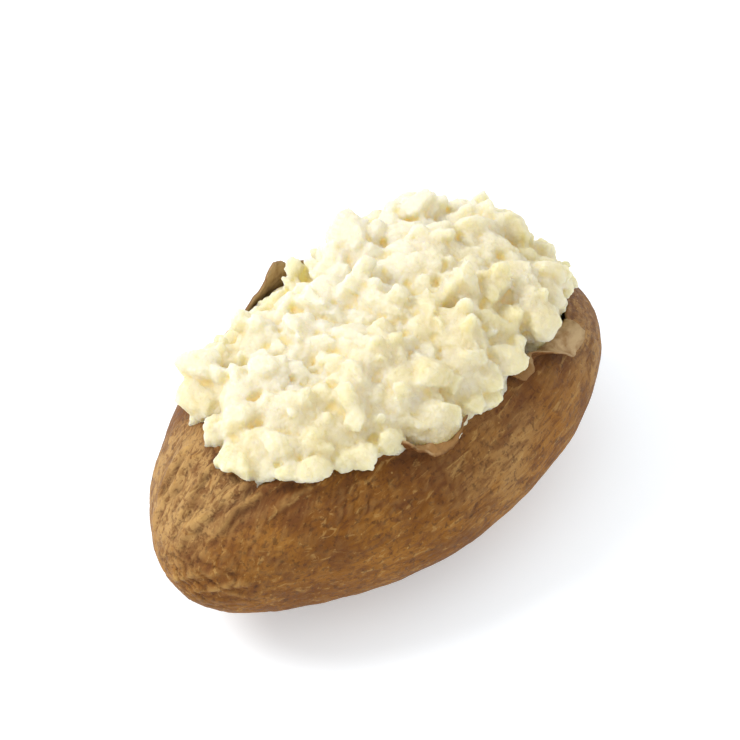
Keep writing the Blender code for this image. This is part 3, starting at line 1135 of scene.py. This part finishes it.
def tuck_in(places):
    """Draws in the flesh that would come through the skin just below its turned-out parts."""
    wall = skin_rows[FOOT_ROWS:FOOT_ROWS + WALL_ROWS:2, ::2]
    tree = BVHTree.FromPolygons(wall.reshape(-1, 3).tolist(), faces_between(wall))
    bearing = np.arctan2(places[:, 1] / HALF_WIDTH, places[:, 0] / HALF_LENGTH)
    share = np.minimum(4 * sum(bell(bearing, *stretch) for stretch in TURNED_OUT), 1)
    for k in np.flatnonzero((share > 0) & (above_lip(places) < TUCKED_BELOW)):
        place = Vector(places[k])
        spot, outwards, _, _ = tree.find_nearest(place)
        past = (place - spot).dot(outwards) + TUCKED_DEPTH
        if past > 0:
            places[k] = place - outwards * past * float(share[k])
    return places


FUSED_SOFTENING = 0.35
# Relief on the clumps' broken faces and the gaps between their grains: height and size in metres.
CRUMBLE_HEIGHT, CRUMBLE_SIZE = 0.00026, 0.0030
FINE_HEIGHT, FINE_SIZE = 0.00017, 0.0013
GAP_DEPTH, GRAIN_SIZE = 0.00018, 0.0026
GAP_EDGE = (0.02, 0.22)
HOLLOW_ROUNDS = 26
FULL_HOLLOW = 0.0011


def read_vectors(items, label):
    values = np.zeros(len(items) * 3)
    items.foreach_get(label, values)
    return values.reshape(-1, 3)


def finish_heap(mesh):
    """Softens the fused clumps, roughens their faces, and notes how deep each point lies."""
    ends = np.zeros(len(mesh.edges) * 2, dtype=int)
    mesh.edges.foreach_get("vertices", ends)
    count = np.bincount(ends, minlength=len(mesh.vertices)).astype(float)
    ends = ends.reshape(-1, 2)
    places = read_vectors(mesh.vertices, "co")
    softened = neighbour_average(places, ends, count)
    places = places * (1 - FUSED_SOFTENING) + softened * FUSED_SOFTENING
    mesh.vertices.foreach_set("co", places.reshape(-1))
    mesh.update()
    normals = read_vectors(mesh.vertices, "normal")
    relief = CRUMBLE_HEIGHT * rough_noise_at(places, CRUMBLE_SIZE, 101, 5)
    relief += FINE_HEIGHT * noise_at(places, FINE_SIZE, 102)
    relief -= GAP_DEPTH * (1 - smooth_step(*GAP_EDGE, gap_between_grains(places, GRAIN_SIZE)))
    places = tuck_in(places + normals * relief[:, None])
    smooth = places.copy()
    for _ in range(HOLLOW_ROUNDS):
        smooth = neighbour_average(smooth, ends, count)
    depth = ((smooth - places) * normals).sum(axis=1)
    mesh.vertices.foreach_set("co", places.reshape(-1))
    # Painted shade: this hollow depth paints the flesh yellower where it lies deep between clumps.
    layer = mesh.attributes.new("hollow", "FLOAT", "POINT")
    layer.data.foreach_set("value", np.clip(depth / FULL_HOLLOW, 0, 1).astype(np.float32))
    mesh.update()
    mesh.shade_smooth()


flesh_finish = fluffed_flesh_material()
clump_kinds = clump_collection()
# Each layer's name, seed, spacing, smallest and largest size in metres, tilt in radians, and how
# far past the open part of the heap it lies, in metres.
heap_layers = (
    ("Clump", 3, 0.0056, 0.0065, 0.0115, 0.9, CLUMP_MARGIN),
    ("Crumb", 11, 0.0046, 0.0036, 0.0064, 1.4, CRUMB_MARGIN),
    ("Grain", 23, 0.0040, 0.0018, 0.0034, 3.1, CRUMB_MARGIN),
)
heap_tree = scatter_tree("flesh_heap", heap_layers, clump_kinds)
bed = bpy.data.objects.new("heap_bed", heap_bed())
bpy.context.scene.collection.objects.link(bed)
heap_mesh = scattered(bed, heap_tree, heap_layers, flesh_finish, HEAP_VOXEL)
bpy.data.objects.remove(bed)
flatten_hidden_floor(heap_mesh)
keep_largest_part(heap_mesh)
finish_heap(heap_mesh)
heap = bpy.data.objects.new("flesh_heap", heap_mesh)
bpy.context.scene.collection.objects.link(heap)
heap_mesh.materials.clear()
heap_mesh.materials.append(flesh_finish)
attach(heap, "root")
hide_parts("potato_flesh")

for kind in list(clump_kinds.objects):
    bpy.data.objects.remove(kind)
bpy.data.collections.remove(clump_kinds)
